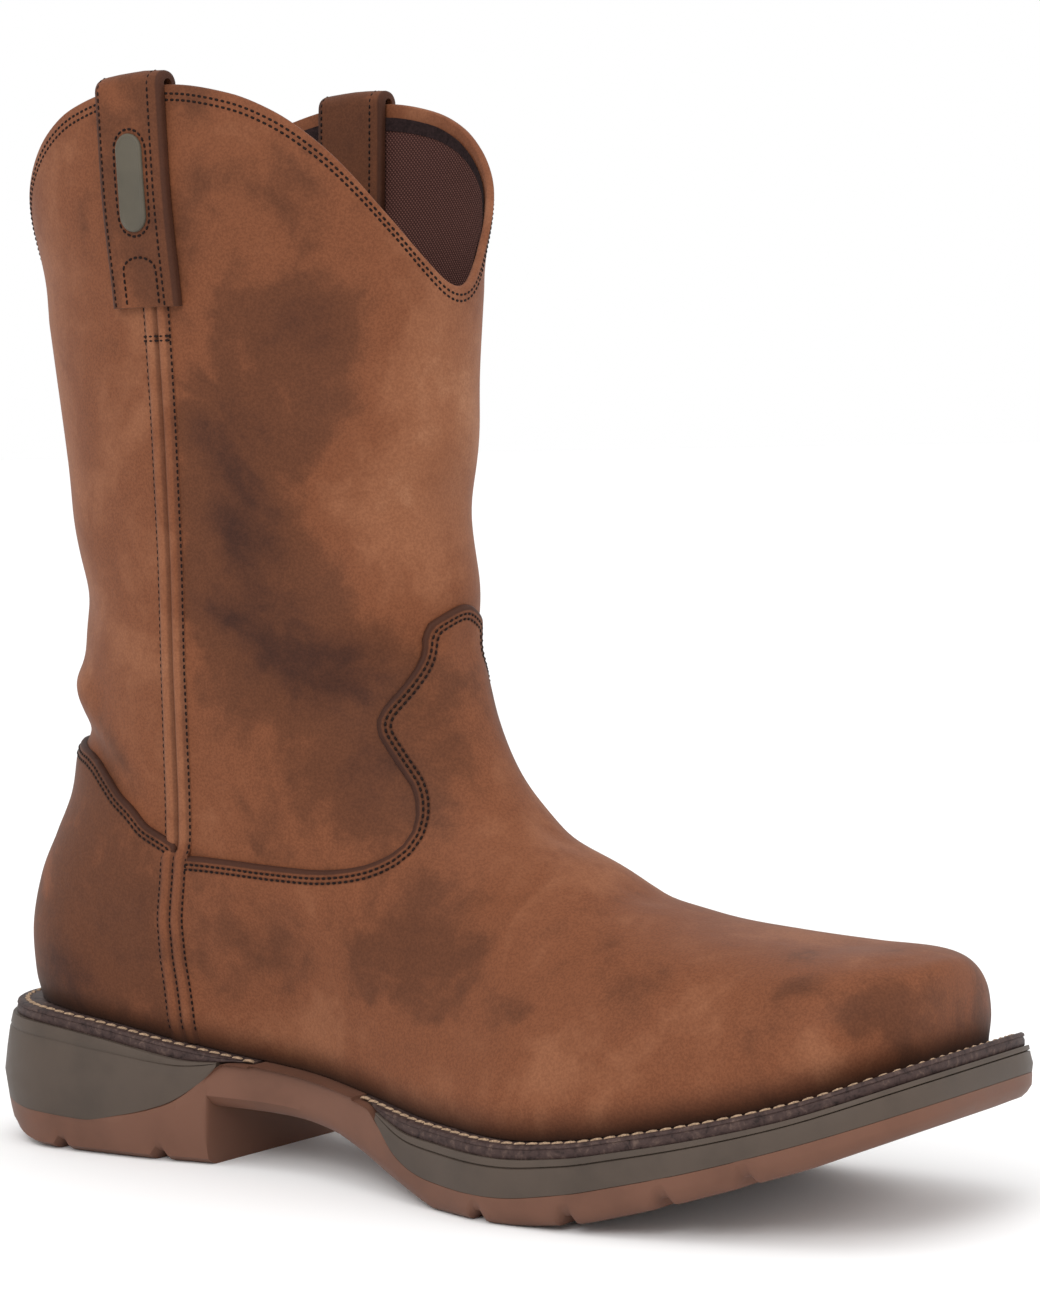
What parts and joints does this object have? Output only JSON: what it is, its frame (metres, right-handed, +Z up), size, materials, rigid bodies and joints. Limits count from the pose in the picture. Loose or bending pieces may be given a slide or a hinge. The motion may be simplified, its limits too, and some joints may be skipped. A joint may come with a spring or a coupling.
{
  "type": "western boot",
  "caption": "Right western work boot with a hollow leather shaft, stitched welt, block heel, lugged rubber sole and pull straps.",
  "frame": {"origin": "on the floor, in the middle of the heel's flat rest face", "axes": "+Z up, +X towards the toe, +Y to the inner side of the foot and -Y to the outer side"},
  "size_m": [0.3185, 0.1129, 0.302],
  "materials": {
    "leather": "oiled nubuck, matt",
    "badge_rubber": "satin",
    "footbed": "matt cloth over foam",
    "welt_leather": "waxed edge",
    "midsole_rubber": "matt",
    "outsole_rubber": "matt"
  },
  "bodies": {
    "root": {"upper": "leather", "vamp": "leather", "heel_counter": "leather", "seam_strip_lateral": "leather", "seam_strip_medial": "leather", "pull_strap_lateral": "leather", "pull_strap_medial": "leather", "strap_badge": "badge_rubber", "insole": "footbed", "welt_heel": "welt_leather", "welt_forefoot": "welt_leather", "midsole_heel": "midsole_rubber", "midsole_forefoot": "midsole_rubber", "outsole": "outsole_rubber"}
  },
  "joints": []
}
